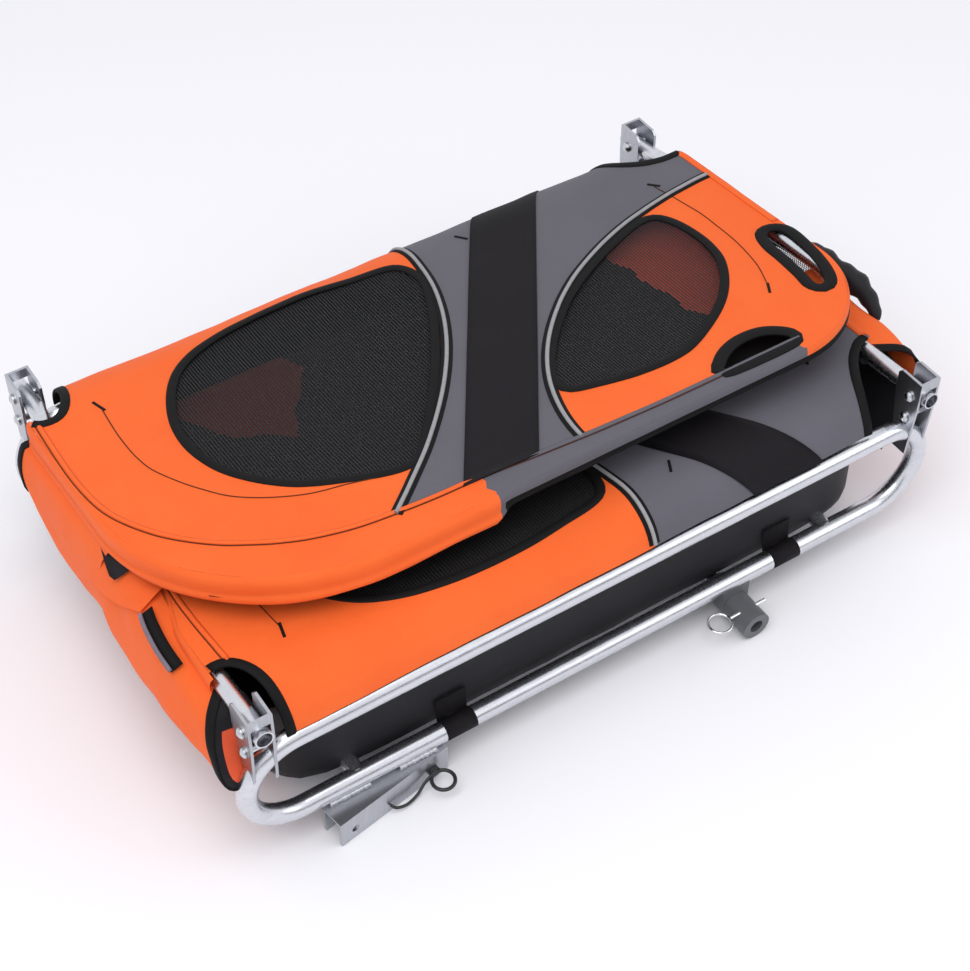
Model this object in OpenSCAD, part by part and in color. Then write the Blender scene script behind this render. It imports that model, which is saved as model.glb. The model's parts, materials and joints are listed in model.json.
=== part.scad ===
// Pet bike trailer, folded flat, with its wheels and tow arm taken off.
// +X is the towing direction, +Y the trailer's left side, +Z up.
// The floor is z = 0 and the origin is the middle of the base.
// Both side frames lie folded inwards, the left one under the right one.

/* [Base frame] */
// Distance between the front and rear hinge brackets, centre to centre
bracket_span = 802; // [760:1:860]
// Distance between the left and right hinge axes
hinge_width = 512; // [490:1:560]
// Outside diameter of the base tube
base_tube_d = 22; // [20:0.5:25]
// Distance between the upper and lower runs of a side loop, centre to centre
run_gap = 116; // [106:1:130]
// Reach of the loop ends past the bracket centres, to the tube's centre line
loop_overhang = 18; // [12:1:24]
// Distance of the cross tubes from the middle of the base
cross_tube_x = 300; // [240:1:320]
// Diameter of the cross tubes, which the tray hangs under
cross_tube_d = 19; // [16:0.5:20]

/* [Hinges] */
// Height of the hinge axis above the upper run's centre
hinge_rise = 45; // [42:1:56]
// Thickness of the bracket sheet
bracket_sheet = 3; // [2:0.5:4]
// Depth of a bracket cheek at its top, across the trailer
cheek_depth = 35; // [32:1:40]
// Height of the bracket above the hinge axis
bracket_rise = 25; // [23:1:32]
// Diameter of the hinge bolts
bolt_d = 8; // [6:0.5:10]
// Drop from the hinge bolt to the lower bracket bolt
lower_bolt_drop = 31; // [28:1:33]

/* [Side hoops] */
// Outside diameter of the hoop tube
hoop_tube_d = 19; // [16:0.5:20]
// Wall of the hoop tube
hoop_wall = 1.5; // [1:0.1:2.5]
// Length of the tube end below the hinge axis
hoop_stub = 20; // [16:1:22]
// Distance from the right hoop's top bar to the left hinge axis
right_margin = 75; // [62:1:87]
// Distance from the left hoop's top bar to the right hinge axis; this hoop nests inside the right one
left_margin = 87; // [82:1:112]
// Outward step of the right hoop's legs above the brackets
right_step = 12; // [10:0.5:14]
// Inward step of the left hoop's legs above the brackets
left_step = 14; // [12:0.5:16]
// Bend radius of the hoops' front corners
front_corner_r = 200; // [150:1:230]
// Bend radius of the hoops' rear corners
rear_corner_r = 120; // [80:1:160]
// Slope of the folded right hoop, up from its hinge
right_fold_deg = 6.5; // [6:0.5:9]
// Slope of the folded left hoop, down from its hinge
left_fold_deg = 5; // [3:0.5:6]

/* [Fabric] */
// Thickness of the sewn fabric walls
fabric_t = 3; // [2:0.5:4]
// Thickness of the mesh panes
mesh_t = 1.6; // [1:0.1:2]
// Thickness of the folded roof cover
roof_t = 10; // [6:1:14]
// Distance from the hinge axis to the side panels' lower edge
panel_start = 27; // [24:1:32]
// Height of the floor tray's front and rear walls above its floor
tray_end_h = 118; // [90:1:122]
// Depth by which the front and rear drapes bulge out from the tray's ends
drape_depth = 64; // [54:1:80]
// Radius of the cut-outs round the brackets
bracket_cut_r = 62; // [50:1:70]
// Radius of the slots that a handle's legs pass
slot_r = 14; // [11:0.5:16]
// Height of the end walls' lower edge over the tray's floor
drape_low = 56; // [48:1:60]
// Angle that the end walls turn in past upright
drape_turn = 40; // [34:1:44]

/* [Wheel and tow mounts] */
// Height of the tow channels
channel_h = 36; // [32:1:42]
// Width of the tow channels
channel_w = 28; // [24:1:34]
// Length of the tow channels
channel_l = 140; // [120:1:160]
// Sheet thickness of the tow channels
channel_sheet = 3; // [2:0.5:4]
// Angle of the tow channels, front end outwards
channel_yaw = 9.5; // [5:0.5:14]
// Distance of the channels' middle ahead of the base's middle
channel_x = 276; // [240:1:290]
// Diameter of the cross holes in the tow channels
channel_hole_d = 8.5; // [6:0.5:10]
// Outside diameter of the axle sockets
socket_d = 34; // [30:1:36]
// Bore of the axle sockets
socket_bore = 16.2; // [12:0.1:20]
// Depth of the axle bore
socket_depth = 60; // [40:1:70]
// Distance of the sockets' outer face from the hinge axis plane
socket_reach = 49; // [40:1:60]
// Distance of the axle behind the base's middle
axle_back = 168; // [120:1:220]

/* [Hidden] */
$fn = 64;

// Clearances: touching pieces of one body, a turning bolt, and neighbours that move apart
seat_gap = 0.3;
bolt_gap = 0.05;
cheek_gap = 0.75;

// Heights above the floor
base_r = base_tube_d / 2;
lower_z = channel_h + base_r;
upper_z = lower_z + run_gap;
hinge_z = upper_z + hinge_rise;
axle_z = socket_d / 2;

// Places along and across the base
half_span = bracket_span / 2;
half_width = hinge_width / 2;
loop_r = run_gap / 2;
bend_x = half_span + loop_overhang - loop_r;
hoop_r = hoop_tube_d / 2;
cheek_in = hoop_r + cheek_gap;
cheek_out = cheek_in + bracket_sheet;
web_y = hoop_r + 1.5;
strap_places = [183, -237];
strap_w = 36;
strap_t = 2;
strap_tab_h = 34;
tray_y = half_width - base_r - strap_t - 3 * seat_gap;
tray_x = half_span - cheek_out - 7;
tray_floor_z = channel_h + seat_gap;
cross_z = tray_floor_z + fabric_t + seat_gap + cross_tube_d / 2;

// Panel outline: sleeve round the hoop and the windows' curves
sleeve_in = hoop_r + seat_gap;
sleeve_out = sleeve_in + fabric_t;
panel_low = hoop_r + seat_gap;
panel_top = panel_low + fabric_t;
window_border = 12;
right_reach = hinge_width - right_margin;
left_reach = hinge_width - left_margin;
// The cloth pattern is drawn for a hoop of this half span and reach, and fitted to the real one
pattern_span = 401;
pattern_reach = 425;
pattern_fit = [half_span / pattern_span, left_reach / pattern_reach];
slot_half_w = 50;
slot_rise = 34;
right_leg_x = half_span + right_step;
left_leg_x = half_span - left_step;
// Length by which the cloth leaves the tube ahead of a step
seam_lead = 2;
right_step_from = 22;
left_step_from = 95;

// Each step is two bends of opposite hand, through the angle whose sine is step_sin
step_sin = 0.28;
step_cos = 0.96;
step_turn = asin(step_sin);
function step_radius(step) = abs(step) / (2 * (1 - step_cos));
function step_length(step) = 2 * step_radius(step) * step_sin;
silver = "#c9cbce";
orange = "#ff743a";
black = "#2b2b2d";

// Superellipse round a centre, as points
function oval(cx, cy, a, b, n, steps = 48) = [for (i = [0 : steps - 1])
    let (t = 360 * i / steps, c = cos(t), s = sin(t))
    [cx + a * sign(c) * pow(abs(c), 2 / n), cy + b * sign(s) * pow(abs(s), 2 / n)]];

// Front seam line of the panel: distance forward of the middle at a height s
function front_seam(s) = 0.001615 * pow(s - 28, 2) - 52;

// Rear seam line of the panel, a quarter of an oval, at an angle t from 0 to 90
rear_seam_end = [-413, 420];
function rear_seam(t) = [rear_seam_end[0] + 388 * pow(cos(t), 2 / 1.87),
                         rear_seam_end[1] - 300 * pow(sin(t), 2 / 1.87)];

// Copies a left-hand piece to the right side
module on_side(side) {
    mirror([0, side > 0 ? 0 : 1, 0]) children();
}

// Places a hoop's own plane: x along the trailer, y up the leg, z towards the panel's outer face
module on_left_frame() {
    translate([0, half_width, hinge_z]) rotate([left_fold_deg, 0, 0]) mirror([0, 1, 0]) children();
}
module on_right_frame() {
    translate([0, -half_width, hinge_z]) rotate([right_fold_deg, 0, 0]) children();
}

// Stadium-shaped loop of base tube in its upright plane
module loop_tube(d) {
    translate([0, half_width, 0]) {
        for (z = [lower_z, upper_z])
            translate([-bend_x, 0, z]) rotate([0, 90, 0]) cylinder(h = 2 * bend_x, d = d);
        for (end = [0, 180])
            translate([0, 0, lower_z + loop_r]) rotate([0, end, 0]) translate([bend_x, 0, 0])
                rotate([90, 0, 0]) rotate([0, 0, -90]) rotate_extrude(angle = 180)
                    translate([loop_r, 0]) circle(d = d);
    }
}

module side_loop(side) {
    color(silver) on_side(side) loop_tube(base_tube_d);
}

// Cross tube between the side loops, shaped to the lower runs
module cross_tubes() {
    color(silver) for (x = [-cross_tube_x, cross_tube_x])
        translate([x, 0, cross_z]) difference() {
            rotate([90, 0, 0]) cylinder(h = hinge_width, d = cross_tube_d, center = true);
            for (side = [-1, 1])
                translate([0, side * half_width, lower_z - cross_z]) rotate([0, 90, 0])
                    cylinder(h = 2 * base_tube_d, d = base_tube_d + 0.1, center = true);
        }
}

module axle_tube() {
    socket_inner = half_width + socket_reach - socket_depth - 12;
    color(silver) translate([-axle_back, 0, axle_z]) rotate([90, 0, 0])
        cylinder(h = 2 * socket_inner, d = base_tube_d, center = true);
}

// Hinge bracket of a left corner; end is 1 at the front and -1 at the rear
module bracket(end, side) {
    color(silver) on_side(side) mirror([end > 0 ? 0 : 1, 0, 0]) difference() {
        translate([half_span, half_width, hinge_z]) {
            for (cheek = [-cheek_out, cheek_in])
                translate([cheek, 0, 0]) cheek_plate();
            translate([-cheek_out, web_y, bracket_rise - 12]) cube([2 * cheek_out, bracket_sheet, 12]);
        }
        loop_tube(base_tube_d + 0.1);
        translate([half_span, half_width, hinge_z]) for (drop = [0, lower_bolt_drop])
            translate([0, 0, -drop]) rotate([0, 90, 0])
                cylinder(h = 3 * cheek_out, d = bolt_d + 0.1, center = true);
    }
}

module cheek_plate() {
    back = web_y + bracket_sheet;
    front = back - cheek_depth;
    foot = -hinge_rise - loop_r * 0.6;
    rotate([90, 0, 90]) linear_extrude(bracket_sheet)
        polygon([[front, -4], [front, bracket_rise - 5], [front + 5, bracket_rise], [back, bracket_rise],
                 [back, -12], [base_r - 1, foot], [1 - base_r, foot]]);
}

// Bolt across a bracket with a domed head and nut
module cheek_bolt(drop) {
    reach = cheek_out + seat_gap;
    for (x = [-half_span, half_span], side = [-1, 1])
        translate([x, side * half_width, hinge_z - drop]) rotate([0, 90, 0]) {
            cylinder(h = 2 * reach, d = bolt_d, center = true);
            for (end = [0, 180]) rotate([end, 0, 0]) translate([0, 0, reach]) bolt_dome();
        }
}

module bolt_dome() {
    intersection() {
        translate([0, 0, -bolt_d * 0.35]) sphere(d = bolt_d * 1.9);
        cylinder(h = bolt_d, d = bolt_d * 1.5);
    }
}

module hinge_bolts() {
    color(silver) cheek_bolt(0);
}

module bracket_bolts() {
    color(silver) cheek_bolt(lower_bolt_drop);
}

// Inverted channel under the lower run; its local x runs forward from its middle
module on_channel(side) {
    on_side(side) translate([channel_x, half_width, 0]) rotate(channel_yaw)
        translate([0, channel_shift, 0]) children();
}
channel_shift = 10;
channel_holes = [channel_l / 2 - 18, 20 - channel_l / 2];
channel_hole_z = channel_h * 0.4;

module tow_channel(side) {
    color(silver) on_channel(side) difference() {
        translate([-channel_l / 2, -channel_w / 2, 0]) cube([channel_l, channel_w, channel_h]);
        translate([-channel_l, channel_sheet - channel_w / 2, -channel_sheet])
            cube([2 * channel_l, channel_w - 2 * channel_sheet, channel_h]);
        for (x = channel_holes) translate([x, 0, channel_hole_z]) rotate([90, 0, 0])
            cylinder(h = 2 * channel_w, d = channel_hole_d, center = true);
    }
}

// Lock pin through the channel's second hole, with its pull ring
module tow_pins() {
    pin_d = channel_hole_d - 0.3;
    pull_r = 12;
    color("#303033") for (side = [-1, 1]) on_channel(side)
        translate([channel_holes[1], 0, channel_hole_z]) {
            rotate([90, 0, 0]) cylinder(h = channel_w + 8, d = pin_d, center = true);
            translate([0, channel_w / 2 + seat_gap, 0]) rotate([-90, 0, 0]) cylinder(h = 4, d = pin_d * 1.5);
            translate([0, channel_w / 2 + 4 + pull_r, 0]) rotate_extrude() translate([pull_r, 0]) circle(d = 4);
        }
}

// Axle socket under the lower run, with a saddle shaped to the tube
module axle_socket(side) {
    face = half_width + socket_reach;
    body_l = socket_depth + 12;
    color("#5a5c60") on_side(side) difference() {
        union() {
            translate([-axle_back, face, axle_z]) rotate([90, 0, 0]) cylinder(h = body_l, d = socket_d);
            translate([-axle_back - socket_d / 2, half_width - base_r, axle_z])
                cube([socket_d, base_tube_d, lower_z - axle_z]);
        }
        translate([-axle_back, face + 1, axle_z]) rotate([90, 0, 0]) cylinder(h = socket_depth + 1, d = socket_bore);
        loop_tube(base_tube_d + 0.1);
        axle_clip_pin(clip_pin_d + 0.1);
    }
}

clip_pin_d = 5;
clip_y = half_width + socket_reach - 18;
clip_z = axle_z + socket_bore / 2 + clip_pin_d / 2 + 0.5;
module axle_clip_pin(d) {
    translate([-axle_back, clip_y, clip_z]) rotate([0, 90, 0])
        cylinder(h = socket_d * 1.4, d = d, center = true);
}

// Spring clip that holds a wheel's axle in its socket
module axle_clips() {
    bail_r = 13;
    color("silver") for (side = [-1, 1]) on_side(side) {
        axle_clip_pin(clip_pin_d);
        translate([-axle_back + socket_d * 0.7 + bail_r, clip_y, clip_z])
            rotate_extrude() translate([bail_r, 0]) circle(d = 3);
    }
}

// Floor tray of coated fabric, open at the top
module floor_tray() {
    side_h = upper_z - tray_floor_z + 2;
    color("#38363c") translate([0, 0, tray_floor_z]) {
        difference() {
            translate([-tray_x, -tray_y, 0]) cube([2 * tray_x, 2 * tray_y, side_h]);
            translate([fabric_t - tray_x, fabric_t - tray_y, fabric_t])
                cube([2 * (tray_x - fabric_t), 2 * (tray_y - fabric_t), side_h]);
            translate([-2 * tray_x, fabric_t - tray_y, tray_end_h])
                cube([4 * tray_x, 2 * (tray_y - fabric_t), side_h]);
            for (x = [-cross_tube_x, cross_tube_x]) translate([x, 0, cross_z - tray_floor_z]) rotate([90, 0, 0])
                cylinder(h = 3 * tray_y, d = cross_tube_d + 2 * seat_gap, center = true);
        }
    }
}

// Webbing straps from the tray round the lower runs
module floor_straps() {
    grip = base_r + seat_gap;
    color(black) for (x = strap_places, side = [-1, 1]) on_side(side)
        translate([x - strap_w / 2, half_width, lower_z]) rotate([90, 0, 90]) linear_extrude(strap_w)
            difference() {
                union() {
                    circle(r = grip + strap_t);
                    translate([tray_y + seat_gap - half_width, 0]) square([strap_t, strap_tab_h]);
                }
                circle(r = grip);
            }
}

// Fabric skirt from the upper run to the lower edge of a side panel; slope is the panel's
module skirt(side, slope) {
    foot = [2, seat_gap + base_r - hinge_rise + fabric_t * 0.6];
    reach = panel_low - fabric_t * 0.6;
    tip = [reach * sin(slope) - panel_start * cos(slope), reach * cos(slope) + panel_start * sin(slope)];
    run = tip - foot;
    color(orange) on_side(side) translate([-half_span + bracket_cut_r - 15, half_width, hinge_z])
        rotate([90, 0, 90]) linear_extrude(2 * (half_span - bracket_cut_r + 15))
            translate(foot) rotate(atan2(run[1], run[0])) square([norm(run), fabric_t]);
}

// Folded end wall of fabric: one sheet that bulges out from the tray's end and stands up past the hoops' legs;
// end is 1 at the front, -1 at the rear
module end_drape(end, colour) {
    depth = drape_depth;
    width = 2 * (half_width - cheek_depth / 2 - 12);
    color(colour) mirror([end > 0 ? 0 : 1, 0, 0])
        translate([tray_x + seat_gap, width / 2, tray_floor_z + drape_low + depth])
            rotate([90, 0, 0]) linear_extrude(width) intersection() {
                difference() {
                    circle(r = depth);
                    circle(r = depth - fabric_t);
                }
                polygon([[0, 0], [0, -2 * depth], [2 * depth, -2 * depth],
                         [2 * depth, 2 * depth * tan(drape_turn)]]);
            }
}

// Front leg of a hoop in the hoop's own plane, with its step and its corner bend
module hoop_leg(reach, leg_x, step, step_from, corner_r) {
    step_to = step_from + step_length(step);
    middle = [(half_span + leg_x) / 2, (step_from + step_to) / 2];
    translate([half_span, -hoop_stub, 0]) rotate([-90, 0, 0]) cylinder(h = hoop_stub + step_from, d = hoop_tube_d);
    step_bend([half_span, step_from], middle, step, 1);
    step_bend([leg_x, step_to], middle, step, -1);
    translate([leg_x, step_to, 0]) rotate([-90, 0, 0]) cylinder(h = reach - corner_r - step_to, d = hoop_tube_d);
    translate([leg_x - corner_r, reach - corner_r, 0]) rotate_extrude(angle = 90)
        translate([corner_r, 0]) circle(d = hoop_tube_d);
}

// Half of a step: a bend that is upright at the point start, up or down to the step's middle
module step_bend(start, middle, step, up) {
    bend_r = step_radius(step);
    reach = step_length(step);
    intersection() {
        translate([start[0] + up * sign(step) * bend_r, start[1], 0]) rotate_extrude()
            translate([bend_r, 0]) circle(d = hoop_tube_d);
        translate([start[0] - reach, start[1] - (up > 0 ? 0 : reach), -hoop_tube_d])
            cube([2 * reach, reach, 2 * hoop_tube_d]);
        translate(middle) rotate(-sign(step) * step_turn) translate([-reach, up > 0 ? -reach : 0, -hoop_tube_d])
            cube([2 * reach, reach, 2 * hoop_tube_d]);
    }
}

// Bent tube of a side hoop in its own plane, with open ends and hinge holes
module hoop_tube(reach, leg_x, step, step_from) {
    difference() {
        union() {
            hoop_leg(reach, leg_x, step, step_from, front_corner_r);
            mirror([1, 0, 0]) hoop_leg(reach, leg_x, step, step_from, rear_corner_r);
            translate([rear_corner_r - leg_x, reach, 0]) rotate([0, 90, 0])
                cylinder(h = 2 * leg_x - front_corner_r - rear_corner_r, d = hoop_tube_d);
        }
        for (x = [-half_span, half_span]) {
            translate([x, 0, 0]) rotate([0, 90, 0])
                cylinder(h = 2 * hoop_tube_d, d = bolt_d + 2 * bolt_gap, center = true);
            translate([x, -hoop_stub - 1, 0]) rotate([-90, 0, 0])
                cylinder(h = hoop_stub + 15, d = hoop_tube_d - 2 * hoop_wall);
        }
    }
}

module hoop_left() {
    color(silver) on_left_frame() hoop_tube(left_reach, left_leg_x, -left_step, left_step_from);
}

module hoop_right() {
    color(silver) on_right_frame() hoop_tube(right_reach, right_leg_x, right_step, right_step_from);
}

// Outline of a side panel, grown past the hoop's centre line by grow, from a height low upwards
module panel_outline(reach, leg_x, step, step_from, low, grow) {
    step_to = step_from + step_length(step);
    step_mid = step_from + step_length(step) / 2;
    outward = leg_x > half_span;
    // The cloth spans the step on the outer side of the tube's bends
    foot_s = outward ? step_from - seam_lead : step_mid - 0.2 * step_length(step);
    side_s = outward ? step_mid + 0.2 * step_length(step) : step_to + seam_lead;
    foot_x = half_span + grow;
    side_x = leg_x + grow;
    front_c = [leg_x - front_corner_r, reach - front_corner_r];
    rear_c = [rear_corner_r - leg_x, reach - rear_corner_r];
    intersection() {
        translate([-2 * half_span, low]) square([4 * half_span, 2 * reach]);
        union() {
            polygon([[-foot_x, -hoop_stub], [foot_x, -hoop_stub], [foot_x, foot_s], [side_x, side_s],
                     [side_x, front_c[1]], [front_c[0], front_c[1]], [front_c[0], reach + grow],
                     [rear_c[0], reach + grow], rear_c, [-side_x, rear_c[1]], [-side_x, side_s],
                     [-foot_x, foot_s]]);
            translate(front_c) circle(r = front_corner_r + grow);
            translate(rear_c) circle(r = rear_corner_r + grow);
        }
    }
}

// The two mesh windows of a side panel, made smaller by inset
module window_front(inset) {
    edge = window_border + inset;
    scale(pattern_fit) intersection() {
        polygon(oval(95, 202, 208 - inset, 158 - inset, 2.15));
        polygon(concat([for (s = [30 : 17 : 404]) [front_seam(s) + edge, s]], [[360, 404], [360, 30]]));
    }
}

module window_rear(inset) {
    edge = window_border + inset;
    scale(pattern_fit) intersection() {
        polygon(oval(-160, 222, 168 - inset, 151 - inset, 2.4));
        polygon(concat([for (t = [0 : 5 : 90]) rear_seam(t) + [-edge, edge]], [rear_seam_end + [-edge, edge]]));
    }
}

// Bound slots of a side panel, over the rear corner and under the top bar, where a handle's legs pass
module handle_slots(reach, leg_x) {
    low_end = [slot_r + 5 - leg_x, reach - rear_corner_r - 40];
    high_end = [slot_r + 12 - leg_x, reach - rear_corner_r + 35];
    run = high_end - low_end;
    out = slot_r * [-run[1], run[0]] / norm(run);
    for (end = [low_end, high_end]) translate(end) circle(r = slot_r);
    polygon([low_end - out, high_end - out, high_end + out, low_end + out]);
    intersection() {
        polygon(oval(-248 * pattern_fit[0], reach - 4, slot_half_w, slot_rise, 2));
        translate([-2 * half_span, 0]) square([2 * half_span, reach - 1]);
    }
}

// Sewn side panel: outer face, sleeve round the hoop, windows, slots and the cut-outs round the brackets
module panel(reach, leg_x, step, step_from) {
    difference() {
        union() {
            translate([0, 0, panel_low]) linear_extrude(fabric_t)
                panel_outline(reach, leg_x, step, step_from, panel_start, sleeve_out);
            translate([0, 0, -hoop_r]) linear_extrude(hoop_r + panel_low) difference() {
                panel_outline(reach, leg_x, step, step_from, panel_start, sleeve_out);
                panel_outline(reach, leg_x, step, step_from, panel_start - 10, sleeve_in);
            }
        }
        translate([0, 0, -hoop_tube_d]) linear_extrude(3 * hoop_tube_d) {
            window_front(0);
            window_rear(0);
            handle_slots(reach, leg_x);
            for (x = [-1, 1]) translate([x * half_span, 10]) {
                circle(r = bracket_cut_r);
                translate([x > 0 ? 0 : -bracket_cut_r, -bracket_cut_r]) square([bracket_cut_r, 2 * bracket_cut_r]);
            }
        }
    }
}

module mesh_panes() {
    translate([0, 0, panel_low + (fabric_t - mesh_t) / 2]) linear_extrude(mesh_t) {
        window_front(seat_gap);
        window_rear(seat_gap);
    }
}

module panel_left() {
    color(orange) on_left_frame() panel(left_reach, left_leg_x, left_step, left_step_from);
}

module panel_right() {
    color(orange) on_right_frame() panel(right_reach, right_leg_x, right_step, right_step_from);
}

module mesh_left() {
    color("#202022") on_left_frame() mesh_panes();
}

module mesh_right() {
    color("#202022") on_right_frame() mesh_panes();
}

// Roof cover, folded under the right panel and sewn to its top bar
module roof_cover() {
    roof_inset = 40;
    color("#65636a") on_right_frame() translate([0, 0, -panel_low - roof_t]) linear_extrude(roof_t)
        intersection() {
            panel_outline(right_reach, right_leg_x, right_step, right_step_from, 90, hoop_r);
            translate([roof_inset - half_span, 0]) square([2 * (half_span - roof_inset), 2 * right_reach]);
        }
}

side_loop(1);  // side_loop_left
side_loop(-1);  // side_loop_right
cross_tubes();
axle_tube();
bracket(1, 1);  // bracket_front_left
bracket(-1, 1);  // bracket_rear_left
bracket(1, -1);  // bracket_front_right
bracket(-1, -1);  // bracket_rear_right
hinge_bolts();
bracket_bolts();
tow_channel(1);  // tow_channel_left
tow_channel(-1);  // tow_channel_right
tow_pins();
axle_socket(1);  // axle_socket_left
axle_socket(-1);  // axle_socket_right
axle_clips();
floor_tray();
floor_straps();
skirt(1, -left_fold_deg);  // skirt_left
skirt(-1, right_fold_deg);  // skirt_right
end_drape(1, orange);  // front_drape
end_drape(-1, black);  // rear_drape
hoop_left();
panel_left();
mesh_left();
hoop_right();
panel_right();
mesh_right();
roof_cover();
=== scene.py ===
"""Folded pet bike trailer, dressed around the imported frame."""
import bmesh
import bpy
import json
import math
import numpy as np
from mathutils import Matrix, Vector, geometry, noise


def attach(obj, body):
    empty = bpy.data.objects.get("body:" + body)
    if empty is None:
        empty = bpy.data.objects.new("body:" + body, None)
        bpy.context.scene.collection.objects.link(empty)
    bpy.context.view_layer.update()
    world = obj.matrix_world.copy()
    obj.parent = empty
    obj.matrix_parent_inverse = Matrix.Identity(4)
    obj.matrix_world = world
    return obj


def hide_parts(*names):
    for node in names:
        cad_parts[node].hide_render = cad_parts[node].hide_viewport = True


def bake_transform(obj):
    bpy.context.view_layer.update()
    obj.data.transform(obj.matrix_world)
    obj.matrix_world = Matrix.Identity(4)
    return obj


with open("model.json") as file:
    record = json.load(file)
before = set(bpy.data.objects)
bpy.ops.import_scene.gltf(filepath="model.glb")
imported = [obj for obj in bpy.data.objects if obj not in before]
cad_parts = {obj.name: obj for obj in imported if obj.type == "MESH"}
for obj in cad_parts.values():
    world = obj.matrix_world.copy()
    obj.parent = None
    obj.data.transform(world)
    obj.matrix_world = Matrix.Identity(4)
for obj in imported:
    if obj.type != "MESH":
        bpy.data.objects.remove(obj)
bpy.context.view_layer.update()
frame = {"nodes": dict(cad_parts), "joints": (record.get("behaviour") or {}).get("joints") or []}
nodes = frame["nodes"]
MM = 0.001
scene = bpy.context.scene
scene.view_settings.view_transform = "Standard"
noise.seed_set(7)

# Camera of the picture: place in metres, heading and pitch in degrees
CAMERA_AT = Vector((0.7841, 1.2270, 1.6429))
HEADING, PITCH, ROLL = 33.109, 47.342, 0.20
FOCAL_PX, IMAGE_PX = 1917.2, 970
SENSOR_MM = 36.0


def make_camera():
    az, pitch, roll = (math.radians(v) for v in (HEADING, PITCH, ROLL))
    ahead = Vector((-math.sin(az), -math.cos(az), 0))
    right = Vector((-math.cos(az), math.sin(az), 0))
    up = Vector((0, 0, 1))
    look = ahead * math.cos(pitch) - up * math.sin(pitch)
    top = ahead * math.sin(pitch) + up * math.cos(pitch)
    side = right * math.cos(roll) + top * math.sin(roll)
    top = side.cross(look)
    data = bpy.data.cameras.new("camera")
    data.sensor_fit, data.sensor_width = "HORIZONTAL", SENSOR_MM
    data.lens = FOCAL_PX / IMAGE_PX * SENSOR_MM
    camera = bpy.data.objects.new("camera", data)
    turn = Matrix((side, top, -look)).transposed().to_4x4()
    camera.matrix_world = Matrix.Translation(CAMERA_AT) @ turn
    scene.collection.objects.link(camera)
    scene.camera = camera


make_camera()


# Finishes

class Val:
    """A number on a surface, with arithmetic that adds Math nodes."""

    def __init__(self, finish, socket):
        self.finish, self.socket = finish, socket

    def __add__(self, other):
        return self.finish.math("ADD", self, other)

    def __sub__(self, other):
        return self.finish.math("SUBTRACT", self, other)

    def __rsub__(self, other):
        return self.finish.math("SUBTRACT", other, self)

    def __mul__(self, other):
        return self.finish.math("MULTIPLY", self, other)

    def __gt__(self, other):
        return self.finish.math("GREATER_THAN", self, other)

    def __abs__(self):
        return self.finish.math("ABSOLUTE", self)

    __radd__, __rmul__ = __add__, __mul__


class Finish:
    """One material: a shader and the nodes that feed it."""

    def __init__(self, name, **fixed):
        self.material = bpy.data.materials.new(name)
        self.material.use_nodes = True
        self.tree = self.material.node_tree
        self.shader = self.tree.nodes["Principled BSDF"]
        for socket, value in fixed.items():
            self.put(self.shader.inputs[socket.replace("_", " ")], value)

    def put(self, socket, value):
        if isinstance(value, Val):
            self.tree.links.new(value.socket, socket)
        elif isinstance(value, bpy.types.NodeSocket):
            self.tree.links.new(value, socket)
        else:
            socket.default_value = value

    def node(self, kind, settings=None, sockets=None):
        made = self.tree.nodes.new("ShaderNode" + kind)
        for name, value in (settings or {}).items():
            setattr(made, name, value)
        for name, value in (sockets or {}).items():
            self.put(made.inputs[name], value)
        return made

    def math(self, operation, *values):
        made = self.node("Math", {"operation": operation}, dict(enumerate(values)))
        return Val(self, made.outputs[0])

    def sin(self, value):
        return self.math("SINE", value)

    def spots(self, place, scale, detail=3.0, rough=0.55):
        made = self.node("TexNoise", None, {"Vector": place, "Scale": scale, "Detail": detail, "Roughness": rough})
        return Val(self, made.outputs["Fac"])

    def mix(self, amount, dark, light):
        made = self.node("Mix", {"data_type": "RGBA"}, {"Factor": amount})
        for name, value in (("A", dark), ("B", light)):
            socket = next(s for s in made.inputs if s.name == name and s.type == "RGBA")
            self.put(socket, value)
        return next(s for s in made.outputs if s.type == "RGBA")

    def parts(self, vector):
        made = self.node("SeparateXYZ", None, {0: vector})
        return [Val(self, s) for s in made.outputs]

    def cloth_place(self):
        return self.node("UVMap", {"uv_map": "cloth"}).outputs[0]

    def own_place(self):
        return self.node("TexCoord").outputs["Object"]

    def finish(self, colour=None, rough=None, bump=None, depth=0.0005, strength=1.0, **more):
        for name, value in (("Base Color", colour), ("Roughness", rough)):
            if value is not None:
                self.put(self.shader.inputs[name], value)
        if bump is not None:
            raised = self.node("Bump", None, {"Strength": strength, "Distance": depth, "Height": bump})
            self.put(self.shader.inputs["Normal"], raised.outputs[0])
        for name, value in more.items():
            self.put(self.shader.inputs[name.replace("_", " ")], value)
        return self.material


def rgb(code):
    """Linear colour of a screen colour's hex code."""
    channels = [int(code[i:i + 2], 16) / 255 for i in (0, 2, 4)]
    return tuple(c / 12.92 if c <= 0.04045 else ((c + 0.055) / 1.055) ** 2.4 for c in channels) + (1.0,)


def woven(name, dark, light, thread_mm, sheen, roughness=0.62):
    """Plain-weave cloth: crossing threads, uneven dye and soft creases."""
    f = Finish(name, Sheen_Weight=sheen, Sheen_Roughness=0.4, Specular_IOR_Level=0.22)
    place = f.cloth_place()
    x, y, _ = f.parts(place)
    turns = 2 * math.pi / (thread_mm * MM)
    threads = f.sin(x * turns) * f.sin(y * turns)
    dye = f.spots(place, 9.0, 4.0)
    fleck = f.spots(place, 420.0, 2.0)
    creases = f.spots(place, 26.0, 2.0)
    tone = dye * 0.7 + fleck * 0.3 + threads * 0.05
    return f.finish(f.mix(tone, rgb(dark), rgb(light)), roughness + (dye - 0.5) * 0.2,
                    threads * 0.1 + creases * 1.0, 0.002, 0.7)


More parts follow.
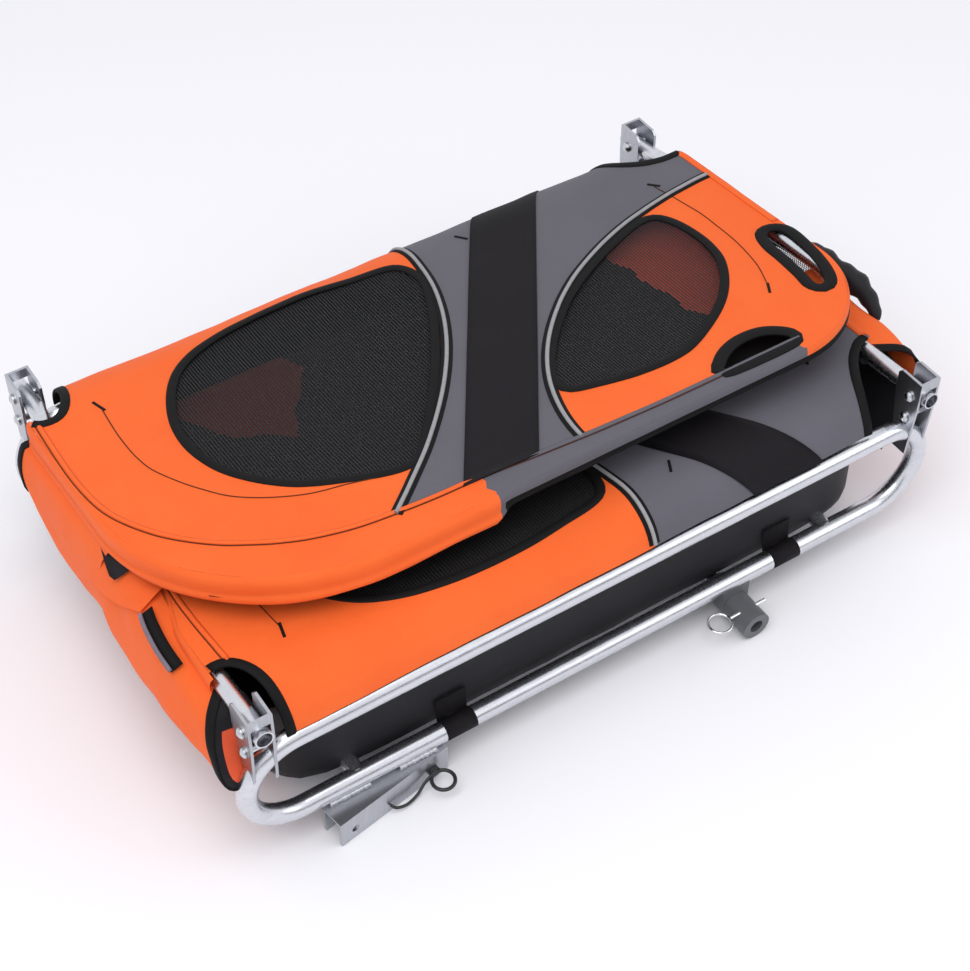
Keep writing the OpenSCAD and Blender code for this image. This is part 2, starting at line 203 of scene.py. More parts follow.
def ribbed(name, dark, light, rib_mm, roughness):
    """Webbing and tape: close ribs across the length and a faint weave."""
    f = Finish(name, Specular_IOR_Level=0.14)
    place = f.cloth_place()
    x, y, _ = f.parts(place)
    ribs = f.sin(y * (2 * math.pi / (rib_mm * MM)))
    cross = f.sin(x * (2 * math.pi / (rib_mm * 1.7 * MM)))
    fleck = f.spots(place, 160.0, 3.0)
    return f.finish(f.mix(fleck * 0.7 + ribs * 0.15 + 0.1, rgb(dark), rgb(light)), roughness + fleck * 0.15,
                    ribs * 0.4 + ribs * cross * 0.4, 0.00025, 0.45)


def open_mesh(name, hole_mm):
    """Black net: upright strands with holes between them."""
    f = Finish(name, Specular_IOR_Level=0.25)
    place = f.cloth_place()
    x, y, _ = f.parts(place)
    upright = abs(f.sin(x * (math.pi / (hole_mm * MM))))
    level = abs(f.sin(y * (math.pi / (hole_mm * 0.72 * MM))))
    wave = f.spots(place, 14.0, 2.0)
    hole = (upright > 0.55) * (level > 0.45)
    return f.finish(f.mix((1 - upright) * 0.9 + wave * 0.2, rgb("09090a"), rgb("303032")), 0.6 + wave * 0.2,
                    1 - upright, 0.0005, 0.5, Alpha=1 - hole * 0.82)


def plated(name, colour, shade, roughness, streak=(3.0, 60.0, 60.0)):
    """Zinc-plated steel: drawn streaks, dull spots and fine scratches."""
    f = Finish(name, Metallic=1.0)
    place = f.own_place()
    drawn = f.node("Mapping", None, {"Vector": place, "Scale": streak}).outputs[0]
    streaks = f.spots(drawn, 9.0, 4.0)
    spangle = f.spots(place, 130.0, 3.0)
    tone = streaks * 0.85 + spangle * 0.15
    return f.finish(f.mix(tone, rgb(shade), rgb(colour)), roughness + (tone - 0.5) * 0.12, streaks, 0.0001, 0.015)


def painted(name, colour, lighter, roughness):
    """Satin paint or moulded plastic with a fine grain and rubbed spots."""
    f = Finish(name, Coat_Weight=0.12, Coat_Roughness=0.35)
    place = f.own_place()
    grain = f.spots(place, 900.0, 2.0)
    rubbed = f.spots(place, 45.0, 4.0)
    return f.finish(f.mix(rubbed * 0.8 + grain * 0.2, rgb(colour), rgb(lighter)), roughness + (rubbed - 0.5) * 0.2,
                    grain, 0.00012, 0.5)


ORANGE = woven("orange_cloth", "f55a1c", "ff7a38", 1.5, 0.03)
GREY = woven("grey_cloth", "57555c", "6e6c75", 1.5, 0.03)
TRAY_CLOTH = woven("tray_cloth", "121115", "232126", 1.3, 0.02, 0.45)
LINING = woven("lining_cloth", "e8522f", "ff7048", 1.5, 0.02)
# Near-black cloth for the roof fold's inner face where no lining patch lies: painted shade inside the folded trailer.
PAINTED_SHADE_BLACK = woven("painted_shade_black_cloth", "060607", "0e0e0f", 1.5, 0.0, 0.8)
# Darker copy of the red lining cloth: painted shade for the lining patch seen through the front window.
SHADED_LINING = woven("painted_shade_lining_cloth", "672216", "823024", 1.5, 0.02)
WEBBING = ribbed("black_webbing", "121013", "211e22", 1.6, 0.6)
BINDING = ribbed("black_binding", "0b0b0c", "19191a", 1.4, 0.6)
PIPING = ribbed("grey_piping", "8b8b8d", "aeaeb1", 1.8, 0.4)
NET = open_mesh("black_net", 3.4)
THREAD = ribbed("dark_thread", "3c2018", "5c3020", 1.2, 0.6)
TUBE = plated("zinc_tube", "e3e4e8", "c4c6cc", 0.27, (8.0, 14.0, 40.0))
SHEET_STEEL = plated("zinc_sheet", "c8cacf", "a0a2a8", 0.33, (40.0, 40.0, 3.0))
BOLT_STEEL = plated("bolt_plating", "e2e4e6", "a9acb0", 0.22, (30.0, 30.0, 30.0))
BRIGHT_WIRE = plated("bright_wire", "f0f0f0", "c8c8ca", 0.12, (30.0, 30.0, 30.0))
WELD = plated("weld_bead", "dcdde0", "9a9ca0", 0.4, (60.0, 60.0, 60.0))
SOCKET_GREY = painted("socket_grey", "4d4f53", "66686c", 0.42)
PIN_BLACK = painted("pin_black", "101011", "222224", 0.4)
CLEAR_EDGE = painted("clear_pocket_edge", "4b4352", "8d8694", 0.25)


# Shapes of cloth

def mesh_piece(name, points, faces, materials, body, places, wears=None):
    """Adds a mesh; places gives each point's place on the flat cloth, wears each face's material."""
    data = bpy.data.meshes.new(name)
    data.from_pydata([tuple(p) for p in points], [], [tuple(f) for f in faces])
    for m in materials if isinstance(materials, (list, tuple)) else [materials]:
        data.materials.append(m)
    data.shade_smooth()
    if wears is not None:
        data.polygons.foreach_set("material_index", np.asarray(wears, dtype=np.int32))
    layer = data.uv_layers.new(name="cloth")
    flat = np.asarray(places, dtype=np.float32)
    loops = np.empty(len(data.loops), dtype=np.int32)
    data.loops.foreach_get("vertex_index", loops)
    layer.data.foreach_set("uv", flat[loops].ravel())
    data.validate()
    piece = bpy.data.objects.new(name, data)
    scene.collection.objects.link(piece)
    if body:
        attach(piece, body)
    return piece


def grid_faces(rows, columns, wrap_rows=False, wrap_columns=False, first=0):
    """Four-sided faces over points in rows, closed round either way if asked."""
    faces = []
    for i in range(rows if wrap_rows else rows - 1):
        for j in range(columns if wrap_columns else columns - 1):
            a, b = i * columns + j, i * columns + (j + 1) % columns
            c, d = ((i + 1) % rows) * columns + (j + 1) % columns, ((i + 1) % rows) * columns + j
            faces.append((first + a, first + b, first + c, first + d))
    return faces


def end_caps(rows, columns):
    """The two end faces of a skin that is closed round its rows."""
    return [tuple(k * columns for k in range(rows))[::-1], tuple(k * columns + columns - 1 for k in range(rows))]


def run_along(path):
    """Length along a path up to each of its points."""
    return np.concatenate([[0], np.cumsum(np.linalg.norm(np.diff(path, axis=0), axis=1))])


def spread(path, count):
    """A path in space, brought to a number of points."""
    at = np.linspace(0, len(path) - 1, count)
    return np.stack([np.interp(at, np.arange(len(path)), path[:, k]) for k in range(3)], axis=1)


def smooth_path(points, step, closed=False):
    """Even points along a Catmull-Rom curve through the given ones."""
    p = np.asarray(points, float)
    n = len(p)
    fine = []
    spans = n if closed else n - 1
    for i in range(spans):
        if closed:
            a, b, c, d = (p[(i + k) % n] for k in (-1, 0, 1, 2))
        else:
            a, b, c, d = p[max(i - 1, 0)], p[i], p[i + 1], p[min(i + 2, n - 1)]
        for t in np.linspace(0, 1, 24, endpoint=False):
            fine.append(0.5 * ((2 * b) + (c - a) * t + (2 * a - 5 * b + 4 * c - d) * t * t
                               + (3 * b - a - 3 * c + d) * t ** 3))
    fine.append(p[0] if closed else p[-1])
    return even_path(fine, step, closed)


def even_path(points, step, closed=False):
    """Points at even steps along straight lines between the given ones."""
    p = np.asarray(points, float)
    run = run_along(p)
    count = max(int(round(run[-1] / step)), 3)
    at = np.linspace(0, run[-1], count + 1)
    out = np.stack([np.interp(at, run, p[:, k]) for k in range(p.shape[1])], axis=1)
    return out[:-1] if closed else out


def inside(points, polygon):
    """Which of the points lie inside a closed polygon."""
    x, y = points[:, 0], points[:, 1]
    hit = np.zeros(len(points), bool)
    px, py = polygon[:, 0], polygon[:, 1]
    for i in range(len(polygon)):
        x0, y0, x1, y1 = px[i - 1], py[i - 1], px[i], py[i]
        if y0 == y1:
            continue
        crosses = (y0 > y) != (y1 > y)
        hit ^= crosses & (x < (x1 - x0) * (y - y0) / (y1 - y0) + x0)
    return hit


def cut_cloth(outline, holes, lines, pitch):
    """Flat cloth as triangles: inside the outline, without the holes, with edges along the lines."""
    low, high = outline.min(0), outline.max(0)
    xs = np.arange(low[0], high[0], pitch)
    ys = np.arange(low[1], high[1], pitch * 0.87)
    net = np.array([(x + (k % 2) * pitch / 2, y) for k, y in enumerate(ys) for x in xs])
    chains = [(outline, True)] + [(h, True) for h in holes] + [(line, False) for line in lines]
    fixed = np.concatenate([c for c, _ in chains])
    near = np.ones(len(net), bool)
    for chunk in np.array_split(np.arange(len(net)), 20):
        gap = np.linalg.norm(net[chunk][:, None] - fixed[None], axis=2).min(1)
        near[chunk] = gap > pitch * 0.45
    points = np.concatenate([fixed, net[near]])
    edges, start = [], 0
    for chain, closed in chains:
        n = len(chain)
        edges += [(start + i, start + (i + 1) % n) for i in range(n if closed else n - 1)]
        start += n
    made = geometry.delaunay_2d_cdt([Vector(p) for p in points], edges, [], 0, 1e-4)
    flat = np.array([tuple(v) for v in made[0]])
    faces = np.array([f for f in made[2] if len(f) == 3])
    middle = flat[faces].mean(1)
    keep = inside(middle, outline)
    for hole in holes:
        keep &= ~inside(middle, hole)
    faces = faces[keep]
    turn = np.cross(flat[faces[:, 1]] - flat[faces[:, 0]], flat[faces[:, 2]] - flat[faces[:, 0]])
    faces[turn < 0] = faces[turn < 0][:, ::-1]
    used = np.unique(faces)
    lookup = np.full(len(flat), -1)
    lookup[used] = np.arange(len(used))
    return flat[used], lookup[faces]


# Side panels, in panel sizes: x forward, s up the leg from the hinge, n out of the face, all in millimetres

HINGE_Y = abs(frame["joints"][0]["pos_m"][1]) / MM
HINGE_Z = frame["joints"][0]["pos_m"][2] / MM
TILT = {"right": math.radians(6.5), "left": math.radians(5.0)}
TOWARD = {"right": 1, "left": -1}
HALF_SPAN = 401.0
LEG_X = {"right": 413.0, "left": 387.0}
REACH = {"right": 437.0, "left": 425.0}
STEP_AT = {"right": (20.0, 81.0), "left": (124.0, 195.0)}
FRONT_CORNER, REAR_CORNER = 200.0, 120.0
FACE_N = 12.4
BEND_S, FOOT_S = 58.0, -30.0
RUN_TOP = {"y": HINGE_Y + 4.0, "z": 174.6}
BODY = {"right": "right_frame", "left": "left_frame"}
RIM_START = 8.5
REAR_FOOT = {"left": 94.0, "right": 66.0}
CLOTH_PITCH = 10.0


def frame_point(side, x, s, n):
    """A panel place in the object's frame, in metres."""
    c, d, e = math.cos(TILT[side]), math.sin(TILT[side]), TOWARD[side]
    return np.stack([x, e * (s * c - HINGE_Y) - n * d, HINGE_Z + e * s * d + n * c], axis=-1) * MM


def foot_place(side):
    """Where the cloth's foot meets the upper run, in panel sizes."""
    dy, dz = HINGE_Y - RUN_TOP["y"], RUN_TOP["z"] - HINGE_Z
    c, d, e = math.cos(TILT[side]), math.sin(TILT[side]), TOWARD[side]
    return dy * c + e * dz * d, dz * c - e * dy * d


def sag(x, s):
    """Slack in the cloth: long soft waves and short puckers."""
    out = np.empty(len(x))
    for i, (a, b) in enumerate(zip(x, s)):
        out[i] = (noise.noise(Vector((a / 95, b / 95, 1.7))) * 2.0
                  + noise.noise(Vector((a / 33, b / 33, 5.1))) * 0.6)
    return out


def on_cloth(side, x, s, lift=0.0):
    """Cloth surface at flat place (x, s): the panel face, and the foot that bends down to the upper run."""
    x, s = np.broadcast_arrays(np.asarray(x, float), np.asarray(s, float))
    lift = np.broadcast_to(np.asarray(lift, float), x.shape)
    end_s, end_n = foot_place(side)
    t = np.clip((BEND_S - s) / (BEND_S - FOOT_S), 0, 1)
    q = np.array([(BEND_S, FACE_N), (30.0, FACE_N), (end_s + 4, -2.0), (end_s, end_n)])
    b = [(1 - t) ** 3, 3 * t * (1 - t) ** 2, 3 * t * t * (1 - t), t ** 3]
    d = [3 * (1 - t) ** 2, 6 * t * (1 - t), 3 * t * t]
    ps = sum(w * p[0] for w, p in zip(b, q))
    pn = sum(w * p[1] for w, p in zip(b, q))
    ds = sum(w * (q[k + 1] - q[k])[0] for k, w in enumerate(d))
    dn = sum(w * (q[k + 1] - q[k])[1] for k, w in enumerate(d))
    size = np.hypot(ds, dn)
    flat = s >= BEND_S
    out = lift + sag(x.ravel(), s.ravel()).reshape(x.shape) * np.clip((REACH[side] - s) / 40, 0, 1)
    ps = np.where(flat, s, ps + out * dn / size)
    pn = np.where(flat, FACE_N + out, pn - out * ds / size)
    return frame_point(side, x, ps, pn)


def leg_line(side, s):
    """How far out the hoop's leg is at a height s."""
    low, high = STEP_AT[side]
    t = np.clip((s - low) / (high - low), 0, 1)
    return HALF_SPAN + (LEG_X[side] - HALF_SPAN) * t * t * (3 - 2 * t)


def hoop_line(side, grow, start, rear_start=None):
    """The hoop's outline grown past its centre line, from the front foot over the top bar to the rear foot."""
    leg, reach = LEG_X[side], REACH[side]
    end = start if rear_start is None else rear_start
    path = [(leg_line(side, s) + grow, s) for s in np.arange(start, reach - FRONT_CORNER, 6.0)]
    turn = np.radians(np.linspace(0, 90, 40))
    path += [(leg - FRONT_CORNER + (FRONT_CORNER + grow) * math.cos(a),
              reach - FRONT_CORNER + (FRONT_CORNER + grow) * math.sin(a)) for a in turn]
    path += [(-leg + REAR_CORNER - (REAR_CORNER + grow) * math.sin(a),
              reach - REAR_CORNER + (REAR_CORNER + grow) * math.cos(a)) for a in turn]
    path += [(-leg_line(side, s) - grow, s) for s in np.arange(reach - REAR_CORNER - 6, end - 0.1, -6.0)]
    return even_path(path, 6.0)


SEAM_BEND = 28.0


def front_seam(s):
    """How far ahead the front seam lies at a height s: straight at first, then bowed."""
    return 0.001615 * np.maximum(s - SEAM_BEND, 0) ** 2 - 52


def front_seam_line():
    s = np.linspace(FOOT_S, 410.0, 60)
    return even_path(np.stack([front_seam(s), s], axis=1), 6.0)


SEAM_END, SEAM_A, SEAM_B, SEAM_POWER = np.array((-413.0, 424.0)), 388.0, 300.0, 1.87


def rear_seam_line():
    t = np.radians(np.linspace(0, 90, 70))
    x = SEAM_END[0] + SEAM_A * np.cos(t) ** (2 / SEAM_POWER)
    s = SEAM_END[1] - SEAM_B * np.sin(t) ** (2 / SEAM_POWER)
    return even_path(np.stack([x, s], axis=1), 6.0)


def is_grey(x, s):
    """Which places lie on the grey cloth between the two seams."""
    across = np.clip((x - SEAM_END[0]) / SEAM_A, 0, None) ** SEAM_POWER
    up = np.clip((SEAM_END[1] - s) / SEAM_B, 0, None) ** SEAM_POWER
    return (x < front_seam(s)) & (across + up > 1)


HEM = [(-300, 431), (-193, 431), (-117, 430), (-43, 427), (20, 422), (80, 417), (137, 415), (180, 411), (230, 403),
       (280, 386), (325, 360), (358, 333), (385, 300), (403, 268), (416, 232), (421, 190), (421, 140), (418, 76)]
HEM_GREY = (-292.0, 90.0)


def fitted(path, side):
    """A path drawn for the right panel, brought to a side's own hoop size."""
    return np.asarray(path, float) * np.array((LEG_X[side] / LEG_X["right"], REACH[side] / REACH["right"]))


def hem_line(side):
    return smooth_path(fitted(HEM, side), 6.0)


def past_hem(x, s, side):
    """Which places lie between the hem and the panel's edge."""
    line = hem_line(side)
    edge = np.array([(line[-1][0], 0), (900, 0), (900, 900), (line[0][0], 900)])
    return inside(np.stack([x, s], axis=1), np.concatenate([line, edge]))


FRONT_WINDOW = smooth_path([(298, 195), (292, 150), (272, 105), (245, 75), (205, 56), (150, 46), (84, 44), (30, 50),
                            (-22, 60), (-33, 95), (-22, 130), (0, 175), (26, 220), (54, 262), (86, 305), (112, 336),
                            (132, 352), (160, 350), (200, 333), (240, 309), (272, 272), (291, 236)], 6.0, True)
REAR_WINDOW = smooth_path([(-315, 162), (-326, 205), (-322, 251), (-305, 288), (-275, 323), (-234, 351), (-190, 370),
                           (-140, 370), (-95, 362), (-58, 350), (-62, 322), (-84, 290), (-112, 259), (-148, 228),
                           (-192, 200), (-240, 176), (-290, 158)], 6.0, True)
CORNER_SLOT = [(-411, 270), (-403, 258), (-391, 260), (-383, 282), (-380, 312), (-376, 345), (-373, 364), (-380, 372),
               (-390, 364), (-400, 340), (-408, 305)]
TOP_SLOT = [(-204, 425), (-210, 416), (-226, 405), (-247, 399), (-271, 401), (-287, 411), (-294, 421), (-287, 427),
            (-247, 428)]
FRONT_CUT = smooth_path([(371, -60), (371, -10), (373, 30), (380, 55), (392, 70), (408, 71), (424, 60), (470, 40)], 5.0)
REAR_CUT = {"left": smooth_path([(-338, -60), (-340, -5), (-350, 32), (-366, 60), (-385, 79), (-407, 89), (-470, 92)],
                                5.0),
            "right": smooth_path([(-338, -60), (-338, 0), (-345, 30), (-362, 50), (-385, 60), (-407, 62), (-470, 60)],
                                 5.0)}
STRAP_FRONT, STRAP_REAR = ((-148, 22), (108, 412)), ((-239, 22), (21, 415))


def sideways(path, closed):
    """Unit normal in the flat to the left of a path."""
    if closed:
        along = np.roll(path, -1, 0) - np.roll(path, 1, 0)
    else:
        along = np.gradient(path, axis=0)
    along /= np.linalg.norm(along, axis=1)[:, None] + 1e-9
    return np.stack([-along[:, 1], along[:, 0]], axis=1)


def tape(name, side, path, profile, material, closed=False, blend_foot=False):
    """A sewn band along a path on the cloth. profile lists (offset to the left, height over the cloth)."""
    normal = sideways(path, closed)
    rows, places = [], []
    run = run_along(path)
    for offset, height in profile:
        p = path + normal * offset
        rows.append(on_cloth(side, p[:, 0], p[:, 1], height))
        places.append(np.stack([np.full(len(path), offset), run], axis=1) * MM)
    faces = grid_faces(len(profile), len(path), True, closed)
    if not closed:
        faces += end_caps(len(profile), len(path))
    piece = mesh_piece(name, np.concatenate(rows), faces, material, None, np.concatenate(places))
    face_outward(piece)
    hang(piece, side, blend_foot)


def face_outward(piece):
    """Turns a closed piece's faces over if they look inward."""
    work = bmesh.new()
    work.from_mesh(piece.data)
    if work.calc_volume(signed=True) < 0:
        piece.data.flip_normals()
    work.free()


def hang(piece, side, crosses_hinge):
    """Rides on the side's frame, or, where the cloth crosses the hinge, stays fixed in the object's frame."""
    if crosses_hinge:
        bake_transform(piece)
    else:
        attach(piece, BODY[side])


BAND = [(-1.2, -1.6), (-1.4, 0.6), (-0.4, 1.5), (4.0, 1.7), (7.8, 1.4), (9.2, 0.4), (8.8, -0.6)]
PIPE = [(2.3 * math.cos(a), 1.7 + 1.9 * math.sin(a)) for a in np.radians(np.arange(0, 360, 45))]
SEAM_TAPE = [(-6.5, 0.2), (-6.0, 0.9), (0, 1.1), (6.0, 0.9), (6.5, 0.2), (0, -0.8)]
STITCH = [(0.6 * math.cos(a), 0.3 + 0.6 * math.sin(a)) for a in np.radians(np.arange(0, 360, 60))]
STITCH_LINES = [[(349, 88), (353, 140), (352, 186), (345, 217), (322, 262), (296, 296), (247, 330), (199, 346),
                 (165, 357)],
                [(-351, 104), (-356, 150), (-359, 200), (-356, 250), (-346, 300), (-330, 340)]]
DARTS = [[(352, 72), (347, 92)], [(-347, 96), (-357, 108)], [(-333, 335), (-324, 350)], [(-120, 60), (-112, 44)]]
DART = [(-1.6, 0.1), (-1.2, 1.0), (1.2, 1.0), (1.6, 0.1)]
REAR_HEM = [(-4.5, 0.1), (-3.5, 1.2), (0.5, 1.7), (4.0, 0.9), (4.6, -0.8), (0.0, -0.8)]
RIDGE = [(-1.0, -0.4), (-1.4, 1.0), (-3.0, 2.0), (-5.0, 1.6), (-7.0, 0.2), (-4.0, -0.6)]


def clipped(path, side):
    """The part of an open path that lies on the panel and above its foot."""
    edge = hoop_line(side, RIM_START, FOOT_S)
    good = inside(path, edge) & (path[:, 1] > FOOT_S)
    where = np.flatnonzero(good)
    return path[where[0]:where[-1] + 1]


def beyond(cut, far):
    """The corner of a panel past a cut, down below its foot."""
    return np.concatenate([cut, np.array([(far, cut[-1][1]), (far, -80), (cut[0][0], -80)])])


def side_panel(side):
    """One side's cloth with its rim, bindings, seams, strap, windows, stitches and hems."""
    edge = hoop_line(side, RIM_START, FOOT_S)
    foot = even_path([edge[-1], edge[0]], 9.0)[1:-1]
    outline = np.concatenate([edge, foot])
    corner_slot, top_slot = (smooth_path(fitted(p, side), 4.0, True) for p in (CORNER_SLOT, TOP_SLOT))
    holes = [FRONT_WINDOW, REAR_WINDOW, corner_slot, top_slot, beyond(FRONT_CUT, 500), beyond(REAR_CUT[side], -500)]
    flat, faces = cut_cloth(outline, holes, [front_seam_line(), rear_seam_line(), hem_line(side)], CLOTH_PITCH)
    points = on_cloth(side, flat[:, 0], flat[:, 1])
    middle = flat[faces].mean(1)
    hem = past_hem(middle[:, 0], middle[:, 1], side)
    grey_hem = (middle[:, 0] > HEM_GREY[0]) & (middle[:, 0] < HEM_GREY[1])
    wears = np.where(hem, grey_hem, is_grey(middle[:, 0], middle[:, 1])).astype(int)
    if side == "left":
        faces = faces[:, ::-1]
    cloth = mesh_piece(f"panel_cloth_{side}", points, faces, [ORANGE, GREY], None, flat * MM, wears)
    one, two = flat[faces[:, 1]] - flat[faces[:, 0]], flat[faces[:, 2]] - flat[faces[:, 0]]
    area = 0.5 * float(np.abs(one[:, 0] * two[:, 1] - one[:, 1] * two[:, 0]).sum()) * MM * MM
    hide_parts(f"panel_{side}", f"skirt_{side}")
    hang(cloth, side, True)
    panel_rim(side)
    for name, loop in (("front_window", FRONT_WINDOW), ("rear_window", REAR_WINDOW), ("corner_slot", corner_slot),
                       ("top_slot", top_slot)):
        out = 1 if signed_area(loop) < 0 else -1
        broad = 1.35 if name.endswith("slot") else 1.0
        band = [(out * a * broad, b) for a, b in BAND][::out]
        tape(f"{name}_binding_{side}", side, loop, band, BINDING, True, blend_foot=name == "front_window")
    for name, cut, out in (("front", FRONT_CUT, -1), ("rear", REAR_CUT[side], 1)):
        band = [(out * -a, b) for a, b in BAND]
        tape(f"{name}_cut_binding_{side}", side, clipped(cut, side), band, BINDING, blend_foot=True)
    for name, line in (("front", front_seam_line()), ("rear", rear_seam_line())):
        path = clipped(line, side)
        tape(f"{name}_seam_tape_{side}", side, path, SEAM_TAPE, BINDING, blend_foot=name == "front")
        tape(f"{name}_piping_{side}", side, path, PIPE, PIPING, blend_foot=name == "front")
    panel_strap(side)
    for k, (window, sink) in enumerate(((FRONT_WINDOW, 5.0), (REAR_WINDOW, 4.0))):
        net_pane(side, k, window, sink)
    hem_path = clipped(hem_line(side), side)
    for k, line in enumerate([smooth_path(fitted(p, side), 5.0) for p in STITCH_LINES] + [hem_path]):
        tape(f"stitch_line_{k}_{side}", side, line, STITCH, THREAD)
    for k, dart in enumerate(DARTS):
        tape(f"dart_{k}_{side}", side, even_path(fitted(dart, side), 3.0), DART, BINDING)
    bend = int(np.argmin(np.abs(hem_path[:, 0] - HEM_GREY[1])))
    for name, path, material in (("rear", hem_path[:bend + 1], GREY), ("front", hem_path[bend:], ORANGE)):
        tape(f"hem_ridge_{name}_{side}", side, path, RIDGE, material)
    up = np.arange(REAR_FOOT[side], 247.0, 6.0)
    rear_edge = np.stack([4.5 - RIM_START - leg_line(side, up), up], axis=1)
    tape(f"rear_hem_{side}", side, rear_edge, REAR_HEM, ORANGE)


def signed_area(loop):
    """Area inside a loop, below zero where it runs clockwise."""
    nxt = np.roll(loop, -1, 0)
    return 0.5 * float((loop[:, 0] * nxt[:, 1] - nxt[:, 0] * loop[:, 1]).sum())


RIM = [(8.5, 12.4), (11.6, 10.6), (13.4, 6.8), (13.7, 1.5), (13.1, -4.0), (12.2, -8.0), (12.4, -9.4), (14.0, -11.2),
       (14.8, -14.5), (14.2, -18.0), (11.8, -20.2), (8.6, -20.6), (6.5, -18.5)]


def panel_rim(side):
    """The sleeve round the hoop and the rolled roof edge below it, with black painted shade on the slim part's
    underside.
    """
    path = hoop_line(side, 0.0, 62.0, REAR_FOOT[side])
    normal = -sideways(path, False)
    run = run_along(path)
    points, places = [], []
    slim = np.clip((94 - path[:, 0]) / 18, 0, 1)
    for k, (grow, n) in enumerate(RIM):
        p = path + normal * (grow - (grow - 8.5) * 0.55 * slim)[:, None]
        n = n - np.minimum(n - 2.0, 0) * 0.62 * slim
        wave = np.array([noise.noise(Vector((r / 60, k / 3.0, 2.2))) for r in run]) * (1.6 if k > 5 else 0.4)
        points.append(frame_point(side, p[:, 0], p[:, 1], n + wave))
        places.append(np.stack([run, np.full(len(p), k * 4.0)], axis=1) * MM)
    count = len(path)
    faces, wears = [], []
    for face in grid_faces(len(RIM), count):
        x = path[face[0] % count][0]
        faces.append(face if side == "left" else face[::-1])
        # Below the third row of the slim rim, ahead of x = 84 mm, the faces wear the black binding as painted shade
        # under the rim's edge.
        under = x < 84 and face[0] // count > 2
        wears.append(2 if under else 1 if HEM_GREY[0] < x < HEM_GREY[1] else 0)
    rim = mesh_piece(f"rim_cloth_{side}", np.concatenate(points), faces, [ORANGE, GREY, BINDING], BODY[side],
                     np.concatenate(places), wears)


def panel_strap(side):
    """Broad webbing sewn across the panel, over its top edge and down to the upper run."""
    low, high = np.array(STRAP_FRONT[0], float), np.array(STRAP_FRONT[1], float)
    rear_low, rear_high = np.array(STRAP_REAR[0], float), np.array(STRAP_REAR[1], float)
    along = np.linspace(-0.125, 1.012, 46)
    across = np.linspace(0, 1, 9)
    top, bottom, places = [], [], []
    for t in along:
        a, b = low + (high - low) * t, rear_low + (rear_high - rear_low) * t
        line = a + (b - a) * across[:, None]
        edge = 0.35 * (np.abs(across - 0.5) > 0.4)
        top.append(on_cloth(side, line[:, 0], line[:, 1], 2.0 - edge))
        bottom.append(on_cloth(side, line[:, 0], line[:, 1], 0.6))
        places.append(np.stack([across * 76, np.full(len(across), t * 460)], axis=1) * MM)
    n, m = len(along), len(across)
    points = np.concatenate(top + bottom)
    faces = grid_faces(n, m) + [f[::-1] for f in grid_faces(n, m, first=n * m)]
    rim = [k * m for k in range(n)] + [(n - 1) * m + k for k in range(1, m)] + \
          [k * m + m - 1 for k in range(n - 2, -1, -1)] + list(range(m - 2, 0, -1))
    for a, b in zip(rim, rim[1:] + rim[:1]):
        faces.append((a, a + n * m, b + n * m, b))
    if side == "right":
        faces = [f[::-1] for f in faces]
    strap = mesh_piece(f"panel_strap_{side}", points, faces, WEBBING, None, np.concatenate(places * 2))
    hang(strap, side, True)


def net_pane(side, k, window, sink):
    """Net behind a window, sagging most in its middle."""
    grown = window + sideways(window, True) * (4.0 if signed_area(window) < 0 else -4.0)
    flat, faces = cut_cloth(grown, [], [], CLOTH_PITCH)
    centre = window.mean(0)
    reach = np.abs(window - centre).max(0)
    r = np.clip(1 - (((flat - centre) / reach) ** 2).sum(1), 0, 1)
    points = on_cloth(side, flat[:, 0], flat[:, 1], -0.9 - sink * r)
    if side == "left":
        faces = faces[:, ::-1]
    pane = mesh_piece(f"net_pane_{k}_{side}", points, faces, NET, None, flat * MM)
    if k == 0:
        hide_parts(f"mesh_{side}")
    hang(pane, side, k == 0)
    size = (window.max(0) - window.min(0)) * MM
    abs(signed_area(window)) * MM * MM


for side in ("left", "right"):
    side_panel(side)


# Patches of the roof fold's inner face that show the red lining: the first wears the darker lining copy as painted
# shade, the second the lining's own colour.
ROOF_LINING = [[(150, 60), (139, 125), (193, 223), (253, 186), (285, 113), (240, 60)],
               [(-400, 60), (-246, 60), (-250, 166), (-266, 304), (-300, 360), (-400, 360)]]


